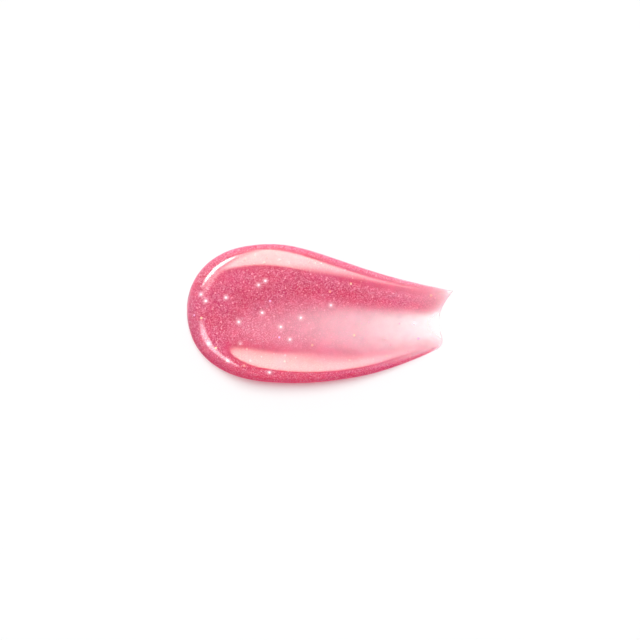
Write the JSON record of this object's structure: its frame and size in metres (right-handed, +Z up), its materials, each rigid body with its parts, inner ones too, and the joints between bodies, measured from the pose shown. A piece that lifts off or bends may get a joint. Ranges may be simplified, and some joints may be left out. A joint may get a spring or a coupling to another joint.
{
  "type": "lip gloss smear",
  "caption": "Smear of shimmering translucent lip gloss: rounded thick head, dragged trough between two raised rims, thin film at the tail.",
  "frame": {"origin": "centre of the overall bounding box, in the plane of the face that the smear rests on", "axes": "+X from the rounded head to the thin tail, +Y to the broad rim's side, +Z up from the resting face"},
  "size_m": [0.032, 0.0168, 0.0023],
  "materials": {
    "gel": "wet gloss, translucent",
    "silver_glitter": "mirror bright",
    "gold_glitter": "mirror bright",
    "copper_glitter": "mirror bright",
    "violet_glitter": "mirror bright",
    "rose_pearl": "pearl"
  },
  "bodies": {
    "root": {"gloss_gel": "gel", "silver_flakes": "silver_glitter", "gold_flakes": "gold_glitter", "copper_flakes": "copper_glitter", "violet_flakes": "violet_glitter", "rose_pearl_flakes": "rose_pearl"}
  },
  "joints": []
}
